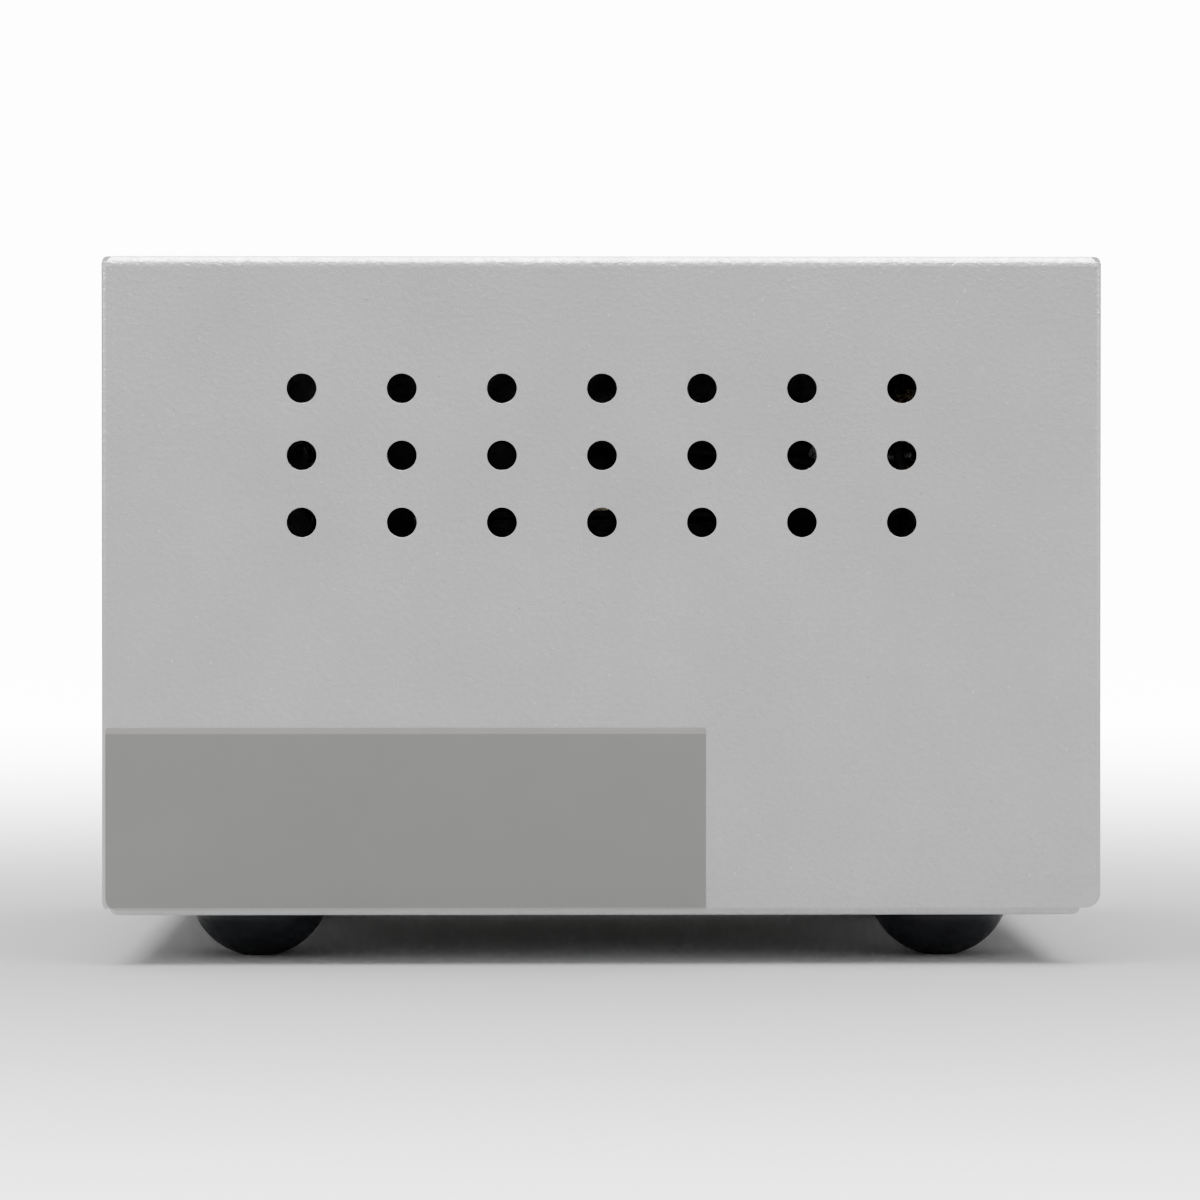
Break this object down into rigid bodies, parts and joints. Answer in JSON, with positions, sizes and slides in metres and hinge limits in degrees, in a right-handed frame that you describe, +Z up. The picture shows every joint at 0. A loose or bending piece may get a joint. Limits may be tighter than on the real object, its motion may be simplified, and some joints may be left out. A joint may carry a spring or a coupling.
{
  "type": "isolation transformer",
  "caption": "Bench isolation transformer: laminated core and coil in a vented sheet-steel case on rubber feet, with a rocker switch, fused inlet, voltage selector and a row of outlets",
  "frame": {"origin": "middle of the footprint, on the plane that the feet stand on", "axes": "+Z up, +Y from the front, which has the rocker switch, to the rear, which has the outlets and inlet, and +X to the side that carries the label"},
  "size_m": [0.1651, 0.2, 0.142],
  "materials": {
    "powder_coat": "fine light-grey powder coat",
    "chassis_coat": "fine light-grey powder coat",
    "label_film": "bare grey printed film",
    "foot_rubber": "satin black rubber",
    "zinc_steel": "bright zinc plating",
    "bracket_steel": "black enamelled steel",
    "core_steel": "varnished laminated silicon steel",
    "bobbin_nylon": "black glass-filled nylon",
    "copper": "enamelled or bare copper",
    "insulation_film": "polyester film",
    "coil_tape": "dark polyester tape",
    "cutout_plastic": "white moulded plastic",
    "contact_brass": "tinned brass",
    "black_plastic": "black moulded plastic",
    "rocker_plastic": "smooth black plastic",
    "window_plastic": "clear green plastic",
    "slider_plastic": "red plastic",
    "fuse_glass": "clear glass tube",
    "fuse_cap_metal": "nickel-plated cap",
    "brown_lead": "brown insulated wire",
    "blue_lead": "blue insulated wire",
    "green_lead": "green and yellow insulated wire"
  },
  "bodies": {
    "case": {"cover": "powder_coat", "front_panel": "powder_coat", "chassis": "chassis_coat", "rating_label": "label_film", "foot_front_left": "foot_rubber", "foot_front_right": "foot_rubber", "foot_rear_left": "foot_rubber", "foot_rear_right": "foot_rubber", "foot_screws": "zinc_steel", "cover_screws": "zinc_steel", "panel_screws": "zinc_steel", "m3_nuts": "zinc_steel", "core_bolts": "zinc_steel", "core_nuts": "zinc_steel", "core_washers": "zinc_steel", "mounting_bolts": "zinc_steel", "mounting_nuts": "zinc_steel", "inlet_screws": "zinc_steel", "selector_screws": "zinc_steel", "earth_stud": "zinc_steel", "earth_nut": "zinc_steel", "bracket_left": "bracket_steel", "bracket_right": "bracket_steel", "clamp_bar_left": "bracket_steel", "clamp_bar_right": "bracket_steel", "e_laminations": "core_steel", "i_laminations": "core_steel", "bobbin": "bobbin_nylon", "primary_winding": "copper", "secondary_winding": "copper", "electrostatic_shield": "copper", "outlet_bars": "copper", "inner_insulation": "insulation_film", "outer_insulation": "insulation_film", "coil_tape": "coil_tape", "thermal_cutout": "cutout_plastic", "winding_tags": "contact_brass", "inlet_contacts": "contact_brass", "outlet_contacts": "contact_brass", "selector_contacts": "contact_brass", "switch_contacts": "contact_brass", "earth_lugs": "contact_brass", "inlet_body": "black_plastic", "outlet_1": "black_plastic", "outlet_2": "black_plastic", "outlet_3": "black_plastic", "outlet_4": "black_plastic", "selector_body": "black_plastic", "switch_body": "black_plastic", "live_leads": "brown_lead", "neutral_leads": "blue_lead", "earth_leads": "green_lead"},
    "drawer": {"fuse_drawer": "black_plastic", "fuse_tubes": "fuse_glass", "fuse_caps": "fuse_cap_metal"},
    "slider": {"selector_slider": "slider_plastic"},
    "rocker": {"switch_rocker": "rocker_plastic", "switch_window": "window_plastic"}
  },
  "joints": [
    {"name": "drawer_slide", "type": "slide", "parent": "case", "child": "drawer", "axis": [0, 1, 0], "range_m": [0, 0.022]},
    {"name": "selector_slide", "type": "slide", "parent": "case", "child": "slider", "axis": [1, 0, 0], "range_m": [0, 0.005]},
    {"name": "rocker_pivot", "type": "hinge", "parent": "case", "child": "rocker", "pos_m": [0.046, -0.09312, 0.076], "axis": [-1, 0, 0], "range_deg": [0, 10]}
  ]
}
